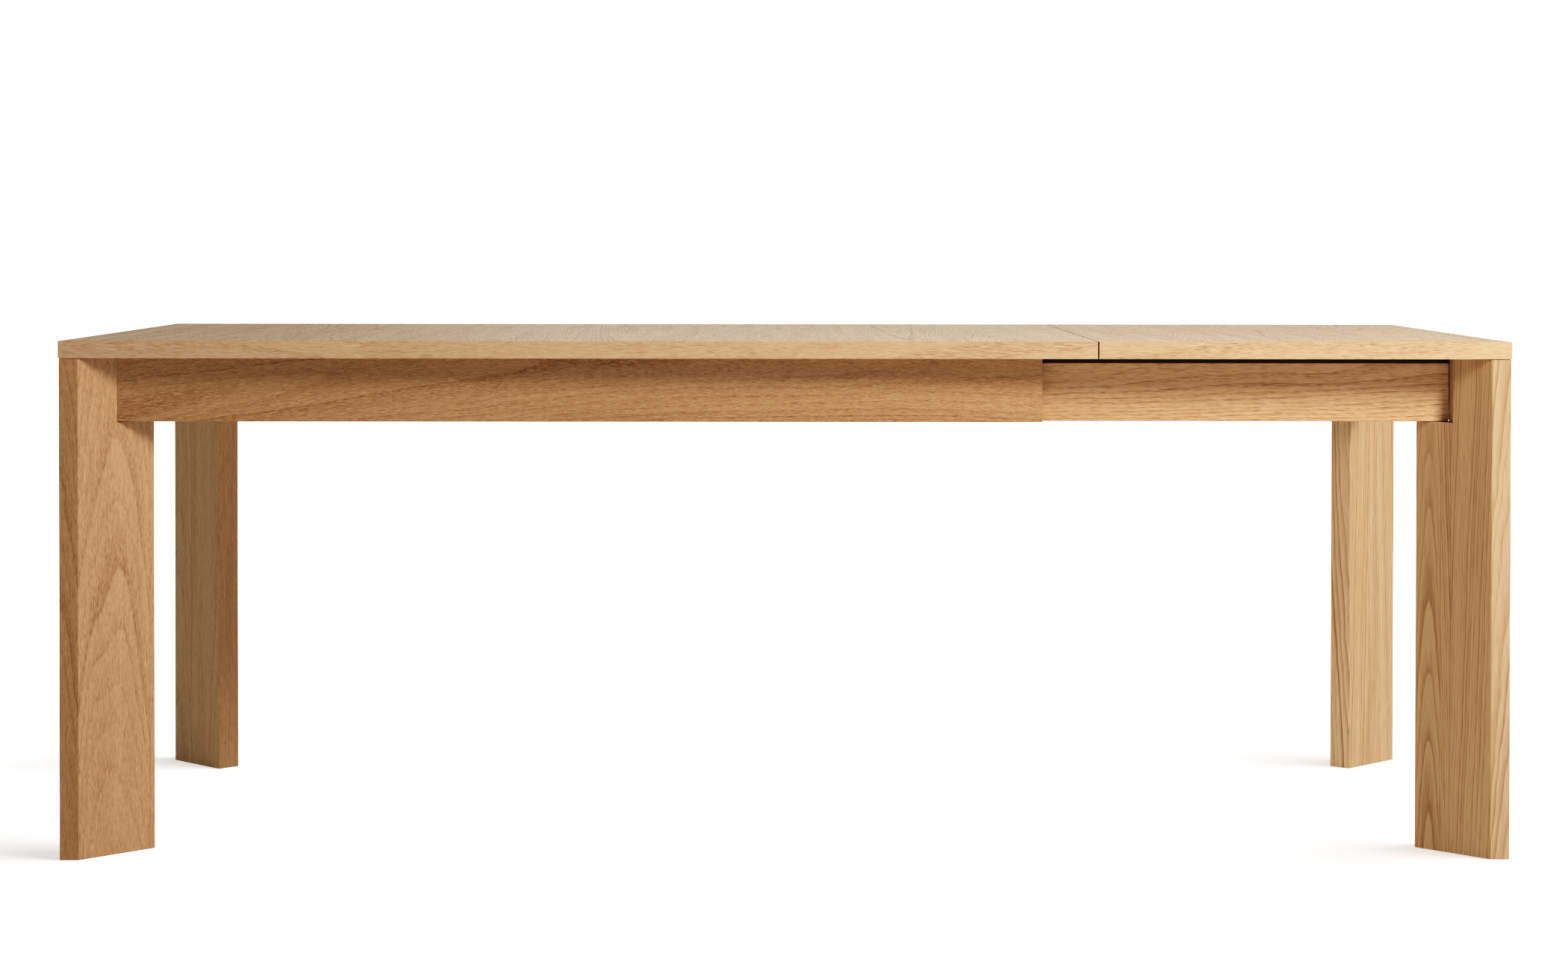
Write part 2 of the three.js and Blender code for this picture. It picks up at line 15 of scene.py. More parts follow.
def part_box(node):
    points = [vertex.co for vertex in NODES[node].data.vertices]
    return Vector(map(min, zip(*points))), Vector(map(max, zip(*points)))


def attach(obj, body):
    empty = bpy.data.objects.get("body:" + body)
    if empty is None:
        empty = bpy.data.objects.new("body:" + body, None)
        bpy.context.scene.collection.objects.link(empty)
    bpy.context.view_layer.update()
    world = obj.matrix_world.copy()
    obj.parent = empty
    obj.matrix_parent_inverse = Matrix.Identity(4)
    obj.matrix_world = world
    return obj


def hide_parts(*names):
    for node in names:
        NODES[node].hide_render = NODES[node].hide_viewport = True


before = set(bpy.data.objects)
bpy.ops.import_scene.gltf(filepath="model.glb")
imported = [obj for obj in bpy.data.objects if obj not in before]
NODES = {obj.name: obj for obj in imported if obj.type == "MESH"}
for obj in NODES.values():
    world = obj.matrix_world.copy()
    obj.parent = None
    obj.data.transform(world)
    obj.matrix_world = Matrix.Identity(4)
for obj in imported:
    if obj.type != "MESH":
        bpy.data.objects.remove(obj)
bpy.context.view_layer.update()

# Sizes taken from the frame
TOP_LOW, TOP_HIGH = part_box("main_top")
LEAF_LOW, LEAF_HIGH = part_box("leaf_panel")
HALF_LENGTH = LEAF_HIGH.x
HALF_WIDTH = TOP_HIGH.y

# Oak: its colours from the palest latewood to the open pores, how far its grain stands up, and
# how strongly it shines
PALE = 0xD6AD82
BROWN = 0x9A6839
PORE = 0x6B4423
RELIEF = 0.00006
GLOSS = 0.4
TOP_GLOSS = 0.07

# The looks that oak_finish takes; a board's other looks go to oak_figure
FINISHES = ("contrast", "tone", "crisp", "broad", "shade")

# Cells of the oak's noises, in metres along, across and into the board
DRIFT_CELL = (0.4, 0.08, 0.08)
RIPPLE_CELL = (0.09, 0.028, 0.028)
STREAK_CELL = (0.05, 0.0026, 0.0026)
BAND_CELL = (0.5, 0.022, 0.03)
PORE_WIDTH = 0.0006
DASH_WIDTH = 0.0011
FLECK_WIDTH = 0.0010

# A face of a leg or panel counts as facing an axis past this share, and end grain darkens a face
# that turns this far towards the length of its board
FACE_LIMIT = 0.85
END_FACING = (0.6, 0.9)

# Half the width of a glue line, from its dark middle to its faded edge, and how dark it is
STAVE_JOINT, STAVE_JOINT_DARK = (0.0003, 0.0008), 0.5
VENEER_JOINT, VENEER_JOINT_DARK = (0.0002, 0.0006), 0.3

# Ranges of the random draws: where a board's noises start, and which dice its staves or veneer
# leaves throw. JUMP is how far the grain can move from one of them to the next, in metres
STARTS = (5, 50)
THROWS = (3, 900)
JUMP = 40

# How far the legs stand in from the top's edges, how wide the lippings are, and how far from the
# table's ends an end face is one of the two that meet at the open seam, which carry painted shade
LEG_SETBACK = 0.0012
LIPPING = 0.003
MEETING_FROM_END = 0.1

# Tints over the oak, in linear red, green and blue. Each is partly the oak's own colour and partly
# painted light and shade, set so that its faces come out as light or as dark as they should under
# these lights. The top's paler, less yellow tint also stands in for a painted sheen, and the darkest
# is painted shade on the two end faces that meet at the open seam
TOP_TINT_AND_PAINTED_SHEEN = (1.03, 1.14, 1.18)
LIP_TINT_AND_PAINTED_LIGHT = (1.11, 1.21, 1.41)
SEAM_PAINTED_SHADE = (0.3, 0.25, 0.22)
OUTER_TINT_AND_PAINTED_SHADE = (0.875, 0.84, 0.82)
INNER_TINT_AND_PAINTED_LIGHT = (1.08, 1.08, 1.115)

# First seeds of the aprons and of the hidden frame, and where their tree's heart runs
APRON_SEED, APRON_HEART, APRON_CREST, APRON_TAPER = 20, (0.05, 0.09), 0.3, 0.012
FRAME_SEED, FRAME_HEART = 60, (0.02, 0.07)

# Where the veneer leaves of the main top and of the leaf panel meet
SEAMS = [-0.925, -0.71, -0.55, -0.33, -0.14, 0.05, 0.27]
LEAF_SEAMS = [0.64, 0.86]

# How the grain runs: rings that stand out on the right legs, long sweeping rings on the outer
# aprons, and tighter ones on the inner aprons
RINGED = {"contrast": 2.8, "crisp": 0.55, "length": 0.05, "spacing": 0.0044, "tone": -0.03}
# The outer aprons' extra tone darkens them, partly as the oak's own colour and partly as painted shade
OUTER_LOOK = {
    "shade": OUTER_TINT_AND_PAINTED_SHADE, "curve": 0.083, "tone": 0.13, "spacing": 0.0056,
    "crisp": 1.2, "broad": 0.7, "length": 0.016,
}
INNER_LOOK = {
    "shade": INNER_TINT_AND_PAINTED_LIGHT, "curve": 0.03, "length": 0.03, "crisp": 1.2, "broad": 0.6, "contrast": 1.6,
}


def linear(colour, shade=(1, 1, 1)):
    """A colour written as 0xRRGGBB in sRGB, as Blender's linear RGBA, times a shade."""
    parts = [(colour >> shift & 255) / 255 for shift in (16, 8, 0)]
    parts = [p / 12.92 if p <= 0.04045 else ((p + 0.055) / 1.055) ** 2.4 for p in parts]
    return [part * much for part, much in zip(parts, shade)] + [1.0]


# Node materials, written as sums


class Value:
    """A value inside a material's node tree, which can take part in sums."""

    def __init__(self, graph, socket):
        self.graph, self.socket = graph, socket

    def __add__(self, other):
        return self.graph.math("ADD", self, other)

    def __sub__(self, other):
        return self.graph.math("SUBTRACT", self, other)

    def __rsub__(self, other):
        return self.graph.math("SUBTRACT", other, self)

    def __mul__(self, other):
        return self.graph.math("MULTIPLY", self, other)

    def __truediv__(self, other):
        return self.graph.math("DIVIDE", self, other)

    def __pow__(self, other):
        return self.graph.math("POWER", self, other)

    def __abs__(self):
        return self.graph.math("ABSOLUTE", self)

    __radd__ = __add__
    __rmul__ = __mul__


class Graph:
    """One material's node tree. Its methods add a node and return the value that it gives."""

    def __init__(self, name, **settings):
        self.material = bpy.data.materials.new(name)
        self.material.use_nodes = True
        self.tree = self.material.node_tree
        self.shader = self.tree.nodes["Principled BSDF"]
        for setting, value in settings.items():
            self.shader.inputs[setting.replace("_", " ")].default_value = value

    def add(self, kind, **settings):
        node = self.tree.nodes.new("ShaderNode" + kind)
        for setting, value in settings.items():
            setattr(node, setting, value)
        return node

    def feed(self, socket, value):
        if isinstance(value, Value):
            self.tree.links.new(value.socket, socket)
        else:
            socket.default_value = value

    def give(self, node, values, output=0):
        """Feeds the node's first sockets and returns one of its outputs."""
        for socket, value in zip(node.inputs, values):
            self.feed(socket, value)
        return Value(self, node.outputs[output])

    def math(self, operation, *values, clamped=False):
        return self.give(self.add("Math", operation=operation, use_clamp=clamped), values)

    def above(self, value, limit):
        return self.math("GREATER_THAN", value, limit)

    def between(self, share, first, second):
        """first where share is 0, second where it is 1."""
        return first + share * (second - first)

    def eased(self, value, low, high, to_low=0.0, to_high=1.0):
        """value moved smoothly from one range into another, and held at its ends."""
        node = self.add("MapRange", interpolation_type="SMOOTHSTEP")
        return self.give(node, [value, low, high, to_low, to_high])

    def place(self):
        """The point being shaded, in the row frame at rest."""
        node = self.add("SeparateXYZ")
        self.tree.links.new(self.add("TexCoord").outputs["Object"], node.inputs[0])
        return [Value(self, output) for output in node.outputs]

    def facing(self, axis):
        """How squarely the surface faces along an axis of the row frame, 0 to 1."""
        node = self.add("VectorMath", operation="DOT_PRODUCT")
        self.tree.links.new(self.add("TexCoord").outputs["Normal"], node.inputs[0])
        node.inputs[1].default_value = Vector(axis).normalized()
        return abs(Value(self, node.outputs["Value"]))

    def vector(self, *parts):
        return self.give(self.add("CombineXYZ"), parts)

    def noise(self, point, cell, detail=1.0, roughness=0.5):
        """Noise from 0 to 1 in cells of this length, width and depth, in metres."""
        node = self.add("TexNoise")
        where = self.vector(*[part / size for part, size in zip(point, cell)])
        self.feed(node.inputs["Vector"], where)
        node.inputs["Scale"].default_value = 1.0
        node.inputs["Detail"].default_value = detail
        node.inputs["Roughness"].default_value = roughness
        return Value(self, node.outputs[0])

    def dice(self, number):
        """Three random values from 0 to 1 that belong to a whole number."""
        node = self.add("TexWhiteNoise", noise_dimensions="1D")
        self.feed(node.inputs["W"], number)
        split = self.add("SeparateColor")
        self.tree.links.new(node.outputs["Color"], split.inputs[0])
        return [Value(self, output) for output in split.outputs]

    def mix(self, share, first, second, blend="MIX"):
        node = self.add("Mix", data_type="RGBA", blend_type=blend)
        for order, value in ((0, share), (6, first), (7, second)):
            self.feed(node.inputs[order], value)
        return Value(self, node.outputs[2])

    def tinted(self, tint):
        """The finished material with its colour multiplied by a tint."""
        socket = self.shader.inputs["Base Color"]
        colour = Value(self, socket.links[0].from_socket)
        self.feed(socket, self.mix(1.0, colour, tint, "MULTIPLY"))
        return self.material

    def finish(self, colour, roughness, height, relief):
        """Feeds the shader. relief is how far the surface stands up where height is 1, in metres."""
        bump = self.add("Bump")
        bump.inputs["Distance"].default_value = relief
        self.feed(bump.inputs["Height"], height)
        self.feed(self.shader.inputs["Base Color"], colour)
        self.feed(self.shader.inputs["Roughness"], roughness)
        self.tree.links.new(bump.outputs[0], self.shader.inputs["Normal"])
        return self.material


# Oak


def oak_figure(
    g, point, heart, spacing=0.0038, taper=0.02, wander=0.012, length=0.028, offset=(0, 0, 0)
):
    """Growth rings, pores and fibres of one board. point runs (along, across, depth) in metres.

    heart is where the tree's heart runs, (across, depth). taper is how fast the rings narrow
    along the board, which draws the pointed arches of flat-sawn oak. length is that of a fibre.
    Returns the ring's darkness, its pores, dashes, pale flecks, streaks and broad bands, 0 to 1.
    """
    along, across, depth = point
    shifted = [part + shift for part, shift in zip(point, offset)]
    drift = (g.noise(shifted, DRIFT_CELL) - 0.5) * wander
    ripple = (g.noise(shifted, RIPPLE_CELL) - 0.5) * (wander * 0.35)
    bent = across - heart[0] + drift + ripple
    inward = depth - heart[1] + drift * 0.8
    radius = g.math("SQRT", bent * bent + inward * inward) + along * taper
    uneven = g.noise([radius, along * 0 + offset[0], depth * 0], (0.007, 1, 1))
    growth = radius / spacing + uneven * 1.6
    ring = g.math("FLOOR", growth)
    within = growth - ring
    vigour, width, _ = g.dice(ring)
    early = (1.0 - within) ** g.eased(width, 0, 1, 1.6, 3.4) * g.eased(within, 0.0, 0.07)
    early = early * g.eased(vigour, 0, 1, 0.35, 1)
    grain = [along + offset[0], bent + offset[1], inward + offset[2]]
    beside = [along + offset[1], bent + offset[2], inward + offset[0]]
    porous = early * 0.6 + 0.4
    pores = g.eased(g.noise(grain, (length * 0.45, PORE_WIDTH, PORE_WIDTH), 0), 0.54, 0.66) * porous
    dashes = g.eased(g.noise(grain, (length, DASH_WIDTH, DASH_WIDTH), 1), 0.46, 0.62) * porous
    flecks = g.eased(g.noise(beside, (length * 0.8, FLECK_WIDTH, FLECK_WIDTH), 0), 0.54, 0.68)
    streaks = g.noise(beside, STREAK_CELL, 2)
    bands = g.noise(grain, BAND_CELL, 1)
    return early, pores, dashes, flecks, streaks, bands


def oak_finish(
    g, figure, contrast=1.0, tone=0.0, crisp=1.0, broad=1.0, shade=(1, 1, 1), end_grain=None, cuts=None
):
    """Colour, gloss and relief from an oak figure.

    contrast is that of the rings, tone darkens all, crisp and broad are how much the fibres and
    the wide bands show, and shade tints. end_grain and cuts darken where they are 1.
    """
    early, pores, dashes, flecks, streaks, bands = figure
    pale, brown, pore = [linear(colour, shade) for colour in (PALE, BROWN, PORE)]
    fibres = (dashes - 0.3) * (0.36 * crisp) - (flecks - 0.3) * (0.2 * crisp)
    fibres = fibres + (streaks - 0.5) * (0.4 * broad)
    dark = (bands - 0.5) * (0.55 * broad) + fibres + early * (0.3 * contrast) + 0.16 + tone
    colour = g.mix(g.math("ADD", dark, 0.0, clamped=True), pale, brown)
    colour = g.mix(pores * (0.6 * crisp), colour, pore)
    if end_grain is not None:
        colour = g.mix(end_grain * 0.35, colour, brown)
    if cuts is not None:
        colour = g.mix(cuts * 0.6, colour, pore)
    roughness = 0.50 + (streaks - 0.5) * 0.12 + pores * 0.2
    height = 1.0 - pores - dashes * 0.5 - early * 0.15
    return g.finish(colour, roughness, height, RELIEF)


def board_oak(name, order, heart, seed, curve=0.0, crest=0.0, **look):
    """Oak for a straight board. order names which of x, y and z run along, across and into it."""
    g = Graph(name, Specular_IOR_Level=GLOSS)
    axes = dict(zip("xyz", g.place()))
    low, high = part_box(name)
    middle = dict(zip("xyz", (low + high) / 2))
    along, across, depth = [axes[a] - middle[a] for a in order]
    if curve:
        across = across + (along - crest) ** 2.0 * curve
    draw = random.Random(seed)
    offset = [draw.uniform(*STARTS) for _ in range(3)]
    finish = {key: look.pop(key) for key in FINISHES if key in look}
    figure = oak_figure(g, (along, across, depth), heart, offset=offset, **look)
    end_axis = [float(a == order[0]) for a in "xyz"]
    return oak_finish(g, figure, end_grain=g.eased(g.facing(end_axis), *END_FACING), **finish)


def leg_oak(name, seed, staves, hearts, painted_face_light, **look):
    """Oak for a leg: staves glued side by side along the diagonal of the table.

    Its face tints colour its two broad faces, its inner end and the narrow faces of its corner;
    they are partly the oak's own colour and partly painted light and shade, each face as light or
    as dark as it should come out under these lights.
    """
    g = Graph(name, Specular_IOR_Level=GLOSS)
    x, y, z = g.place()
    side_x = 1 if "right" in name else -1
    side_y = 1 if "rear" in name else -1
    corner_x, corner_y = side_x * (HALF_LENGTH - LEG_SETBACK), side_y * (HALF_WIDTH - LEG_SETBACK)
    inward_x, inward_y = (corner_x - x) * side_x, (corner_y - y) * side_y
    inward = (inward_x + inward_y) * math.sqrt(0.5)
    sideways = (inward_x - inward_y) * (math.sqrt(0.5) * -side_x * side_y)
    draw = random.Random(seed)
    stave = sum((g.above(inward, cut) for cut in staves[1:]), g.above(inward, staves[0]))
    jumps = g.dice(stave + draw.uniform(*THROWS))
    heart_across = inward * 0 + hearts[0][0]
    heart_depth = inward * 0 + hearts[0][1]
    for cut, before, after in zip(staves, hearts, hearts[1:]):
        past = g.above(inward, cut)
        heart_across = heart_across + past * (after[0] - before[0])
        heart_depth = heart_depth + past * (after[1] - before[1])
    offset = [jump * JUMP + draw.uniform(*STARTS) for jump in jumps]
    finish = {key: look.pop(key) for key in FINISHES if key in look}
    figure = oak_figure(g, (z, inward, sideways), (heart_across, heart_depth), offset=offset, **look)
    finish["tone"] = (jumps[1] - 0.5) * 0.1 + finish.get("tone", 0)
    joints = sum((g.eased(abs(inward - cut), *STAVE_JOINT, 1, 0) for cut in staves), inward * 0)
    end_grain = g.eased(g.facing((0, 0, 1)), *END_FACING)
    oak_finish(g, figure, end_grain=end_grain, cuts=joints * STAVE_JOINT_DARK, **finish)
    # painted light and shade: a tint for each face, by which way the face turns
    broad, tip, narrow = [[*shade, 1] for shade in painted_face_light]
    on_broad = g.above(g.facing((side_x, -side_y, 0)), FACE_LIMIT)
    on_tip = g.above(g.facing((side_x, side_y, 0)), FACE_LIMIT)
    tint = g.mix(on_tip, g.mix(on_broad, narrow, broad), tip)
    return g.tinted(tint)


def top_oak(name, seed, seams, low, high):
    """Oak veneer laid across the table in leaves, with solid lippings round its edges."""
    g = Graph(name, Specular_IOR_Level=TOP_GLOSS)
    x, y, z = g.place()
    front_lip = g.above(abs(y), HALF_WIDTH - LIPPING)
    end_lip = g.math("MAXIMUM", g.above(x, high - LIPPING), g.above(low + LIPPING, x))
    lip = g.math("MAXIMUM", front_lip, end_lip)
    draw = random.Random(seed)
    leaf = sum((g.above(x, seam) for seam in seams[1:]), g.above(x, seams[0]))
    jumps = g.dice(leaf + draw.uniform(*THROWS))
    centre = x * 0 + (low + seams[0]) / 2
    edges = [low, *seams, high]
    for seam, before, after in zip(seams, zip(edges, edges[1:]), zip(edges[1:], edges[2:])):
        centre = centre + g.above(x, seam) * (sum(after) - sum(before)) / 2
    along = g.between(front_lip, y, x)
    across = g.between(lip, x - centre + (jumps[0] - 0.5) * 0.07, z - TOP_LOW.z)
    depth = g.between(front_lip, g.between(end_lip, z * 0, x), y)
    offset = [g.between(lip, jump * JUMP, 7.0) + draw.uniform(*STARTS) for jump in jumps]
    heart = (g.between(lip, 0.0, 0.06), g.between(lip, -0.05 - jumps[1] * 0.05, 1.6))
    taper = g.between(lip, (jumps[2] - 0.5) * 0.12, 0.004)
    figure = oak_figure(g, (along, across, depth), heart, taper=taper, offset=offset)
    tone = g.between(lip, (jumps[1] - 0.5) * 0.25, 0.0)
    joints = sum((g.eased(abs(x - seam), *VENEER_JOINT, 1, 0) for seam in seams), x * 0)
    crisp, broad = g.between(lip, 1.7, 0.8), g.between(lip, 1.4, 0.15)
    look = {"contrast": g.between(lip, 1.0, 0.3), "tone": tone, "crisp": crisp, "broad": broad}
    oak_finish(g, figure, cuts=joints * (1.0 - lip) * VENEER_JOINT_DARK, **look)
    # painted shade: the two end faces that meet at the open seam are darkened as if in the gap's shade
    seam_shade_faces = g.above(g.facing((1, 0, 0)), FACE_LIMIT) * g.above(HALF_LENGTH - MEETING_FROM_END, abs(x))
    edge = g.mix(seam_shade_faces, [*LIP_TINT_AND_PAINTED_LIGHT, 1], [*SEAM_PAINTED_SHADE, 1])
    # the top's tint is partly the oak's colour and partly a painted sheen; the lippings' is partly
    # painted light
    return g.tinted(g.mix(lip, [*TOP_TINT_AND_PAINTED_SHEEN, 1], edge))


# Metal, nylon and the leaf cleats' near-black, which is painted shade, each with its two colours

ZINC = (0xB9BCC0, 0x96989B)
LATCH = (0x9A9DA0, 0x7C7E80)
SCREW = (0xC4C3BE, 0x8F8E8A)
BALL = (0xD2D4D6, 0xA9ABAD)
BRASS = (0xB08A45, 0xD8B670)
NYLON = (0x1C1B1A, 0x343230)
# painted shade: the near-black of the leaf cleats, seen in the gap under the top
CLEAT_SHADE_COLOURS = (0x45453A, 0x5E5A4A)


def steel(name, colour, dull):
    g = Graph(name, Metallic=1.0)
    point = g.place()
    scratches = g.noise(point, (0.03, 0.0006, 0.0006), 2)
    clouds = g.noise(point, (0.012, 0.012, 0.012), 3)
    shade = g.eased(clouds + (scratches - 0.5) * 0.4, 0.3, 0.7)
    tint = g.mix(shade, linear(colour), linear(dull))
    return g.finish(tint, 0.30 + shade * 0.16, scratches, 0.00001)


def brass(name):
    g = Graph(name, Metallic=1.0)
    x, y, z = g.place()
    rings = g.noise((x, y, z), (0.05, 0.05, 0.0004), 2)
    return g.finish(g.mix(rings, *map(linear, BRASS)), 0.25 + rings * 0.2, rings, 0.00001)


def nylon(name):
    g = Graph(name)
    grain = g.noise(g.place(), (0.0004, 0.0004, 0.0004), 2)
    return g.finish(g.mix(grain, *map(linear, NYLON)), 0.5 + grain * 0.15, grain, 0.00002)


def paint(name, material):
    materials = NODES[name].data.materials
    materials.clear()
    materials.append(material)


def painted_shade_finish(name):
    """Painted shade: near-black over close-grained wood, for the cleats seen in the gap."""
    g = Graph(name)
    x, y, z = g.place()
    fibres = g.noise((x, y, z), (0.06, 0.0012, 0.0012), 2)
    mottle = g.noise((x, y, z), (0.02, 0.008, 0.008), 2)
    tint = g.mix(g.eased(fibres * 0.6 + mottle * 0.4, 0.3, 0.7), *map(linear, CLEAT_SHADE_COLOURS))
    return g.finish(tint, 0.42 + fibres * 0.2, fibres, 0.00003)


# Each leg's seed, the cuts between its staves (distance in from the corner), the heart of the
# tree seen from each stave, the tints of its broad faces, inner end and narrow faces, which are
# partly the oak's own colour and partly painted light and shade, and its other looks
LEGS = {
    "left_front_leg": (
        1, [0.143], [(0.08, 0.12), (0.3, 0.05)],
        [(0.925, 0.912, 0.94), (0.9, 0.88, 0.88), (0.832, 0.764, 0.713)],
        {"contrast": 0.9, "length": 0.018, "broad": 0.8, "taper": 0.045},
    ),
    "left_rear_leg": (
        2, [0.07], [(0.03, 0.09), (0.16, 0.11)],
        [(1.03, 1.08, 1.045), (0.915, 0.89, 0.895), (1.0, 1.0, 1.0)],
        {"contrast": 0.6, "crisp": 0.7},
    ),
    "right_front_leg": (
        3, [0.091, 0.108], [(-0.08, 0.05), (0.4, 0.02), (0.128, 0.045)],
        [(0.93, 0.935, 0.91), (0.9, 0.9, 0.88), (0.91, 0.985, 1.095)],
        {**RINGED, "taper": 0.04},
    ),
    "right_rear_leg": (
        4, [0.095], [(-0.06, 0.07), (0.3, 0.07)],
        [(1.015, 1.105, 1.21), (1.125, 1.295, 1.51), (1.0, 1.05, 1.1)],
        {**RINGED, "contrast": 3.2, "taper": -0.03},
    ),
}


def paint_all():
    paint("main_top", top_oak("main_top", 11, SEAMS, TOP_LOW.x, TOP_HIGH.x))
    paint("leaf_panel", top_oak("leaf_panel", 12, LEAF_SEAMS, LEAF_LOW.x, LEAF_HIGH.x))
    for name, (seed, staves, hearts, painted_face_light, look) in LEGS.items():
        paint(name, leg_oak(name, seed, staves, hearts, painted_face_light, **look))
    for seed, name in enumerate(sorted(n for n in NODES if "apron" in n), APRON_SEED):
        grain = "yzx" if "end" in name else "xzy"
        look = OUTER_LOOK if "outer" in name or "left" in name else INNER_LOOK
        look = {**look, "crest": APRON_CREST, "taper": APRON_TAPER}
        paint(name, board_oak(name, grain, APRON_HEART, seed, **look))
    for seed, name in enumerate(sorted(n for n in NODES if "rail" in n or "block" in n), FRAME_SEED):
        grain = "yzx" if "cross" in name or "tail" in name else "xzy"
        if "block" in name:
            grain = "zxy"
        paint(name, board_oak(name, grain, FRAME_HEART, seed, contrast=0.8))
    zinc = steel("zinc_steel", *ZINC)
    latch = steel("latch_steel", *LATCH)
    # the cleats' near-black is painted shade, darkening the gap under the top where they show
    black = painted_shade_finish("black_lacquer")
    for name in NODES:
        if name.startswith("slide_") or "bolt" in name or "latch_screw" in name or "stud" in name:
            paint(name, zinc)
        elif "latch_hook" in name:
            paint(name, latch)
        elif "cleat" in name:
            paint(name, black)
        elif "insert" in name:
            paint(name, brass(name))
        elif "levelling" in name:
            paint(name, nylon(name))


paint_all()


# Fittings that the CAD leaves out: screws, and the ball cages of the slides

ROUND_STEPS = 24

# Half outlines of screw heads, as shares of the radius and of the height
PAN_HEAD = [
    (0, 1), (0.12, 0.99), (0.24, 0.97), (0.36, 0.93), (0.5, 0.86),
    (0.66, 0.75), (0.82, 0.58), (0.94, 0.38), (1, 0.2), (1, 0),
]
FLAT_HEAD = [
    (0, 1), (0.12, 1), (0.24, 1), (0.36, 1), (0.5, 1),
    (0.66, 1), (0.85, 1), (0.97, 0.9), (1, 0.6), (1, 0),
]

# The cross recess: how far it reaches and half its width as shares of the radius, its depth as a
# share of the height
RECESS_REACH = 0.55
RECESS_HALF = 0.13
RECESS_DEPTH = 0.7
LATCH_RECESS_DEPTH = 0.6

# Sizes of the screws
SLIDE_SCREW = {"radius": 0.0038, "rise": 0.0017}
TAIL_SCREW = {"radius": 0.0038, "rise": 0.0015}
RAIL_SCREW = {"radius": 0.0042, "rise": 0.002}
CLEAT_SCREW = {"radius": 0.0036, "rise": 0.0002, "head": FLAT_HEAD}
LATCH_HEAD = 0.0025
LATCH_SHANK = 0.0025

# How many screws a row has, and how far in from a member's ends they stand
SLIDE_SCREWS, SLIDE_SCREW_IN, INNER_SCREW_IN = 6, 0.02, 0.03
CLEAT_SCREWS, CLEAT_SCREW_IN, CLEAT_SCREW_UP = 6, 0.04, 0.0045
RAIL_SCREWS, RAIL_SCREW_IN = 7, 0.05
CROSS_SCREWS, CROSS_SCREW_SIDE = 4, 0.26
TAIL_SCREW_IN = (0.02, 0.04)
BLOCK_SCREWS = (0.12, 0.88)
FLATNESS = 0.0001

# Slides: the sheet's thickness, and for each cage how far in it stands from the apron, the ball's
# size and how far each row of balls runs from the slide's middle
SLIDE_SHEET = 0.0012
CAGES = {"outer": (0.0056, 0.0031, 0.01965), "inner": (0.0043, 0.0045, 0.0144)}
CAGE_PITCH = 0.0152
CAGE_SHEET = 0.0005
CAGE_START = 0.004
CAGE_END = 0.006
DOWN = (0, 0, -1)


def add_turned(bm, at, up, profile, recess=0.0):
    """Adds a turned solid to a mesh, from its outline in (radius, height), with a cross recess."""
    turn = Vector(up).to_track_quat("Z", "Y").to_matrix()
    widest = max(radius for radius, _ in profile)

    def vertex(radius, height, step):
        angle = 2 * math.pi * step / ROUND_STEPS
        side = min(abs(math.cos(angle)), abs(math.sin(angle))) * radius
        sunk = height > 0 and radius < widest * RECESS_REACH and side < widest * RECESS_HALF
        spot = Vector((radius * math.cos(angle), radius * math.sin(angle), height - recess * sunk))
        return bm.verts.new(Vector(at) + turn @ spot)

    tip = vertex(*profile[0], 0)
    rings = [[vertex(*spot, step) for step in range(ROUND_STEPS)] for spot in profile[1:]]
    for step in range(ROUND_STEPS):
        following = (step + 1) % ROUND_STEPS
        bm.faces.new((tip, rings[0][step], rings[0][following]))
        for inner, outer in zip(rings, rings[1:]):
            bm.faces.new((inner[step], outer[step], outer[following], inner[following]))
    bm.faces.new(reversed(rings[-1]))


def build(name, bm, body, material):
    """Turns a finished mesh into a piece that rides on a CAD body."""
    mesh = bpy.data.meshes.new(name)
    bmesh.ops.recalc_face_normals(bm, faces=bm.faces)
    bm.to_mesh(mesh)
    bm.free()
    mesh.materials.append(material)
    piece = bpy.data.objects.new(name, mesh)
    bpy.context.scene.collection.objects.link(piece)
    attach(piece, body)
    return piece


def screws(name, body, places, up, material, radius, rise, head=PAN_HEAD):
    """One row of cross-recessed screws, heads up along a direction."""
    bm = bmesh.new()
    for place in places:
        profile = [(share * radius, high * rise) for share, high in head]
        add_turned(bm, place, up, profile, recess=rise * RECESS_DEPTH)
    return build(name, bm, body, material)


def ball_cage(name, body, along, y, rows, ball, material):
    """Two rows of bearing balls and the thin strips that space them."""
    bm = bmesh.new()
    start, finish = along
    count = int((finish - start) / CAGE_PITCH)
    edges = []
    for z in rows:
        for order in range(count + 1):
            place = Matrix.Translation((start + (finish - start) * order / count, y, z))
            bmesh.ops.create_icosphere(bm, subdivisions=2, radius=ball / 2, matrix=place)
        middle = Matrix.Translation(((start + finish) / 2, y, z))
        size = Matrix.Diagonal((finish - start + ball * 2, ball * 1.1, CAGE_SHEET, 1))
        strip = bmesh.ops.create_cube(bm, size=1, matrix=middle @ size)
        edges += dict.fromkeys(edge for vert in strip["verts"] for edge in vert.link_edges)
    # both strips at once and last, so that the order of the faces is the same in every run
    bmesh.ops.bevel(bm, geom=edges, offset=CAGE_SHEET / 4, segments=1, affect="EDGES")
    return build(name, bm, body, material)


def steps(start, finish, count):
    """Evenly spaced values, ends included."""
    return [start + (finish - start) * order / (count - 1) for order in range(count)]


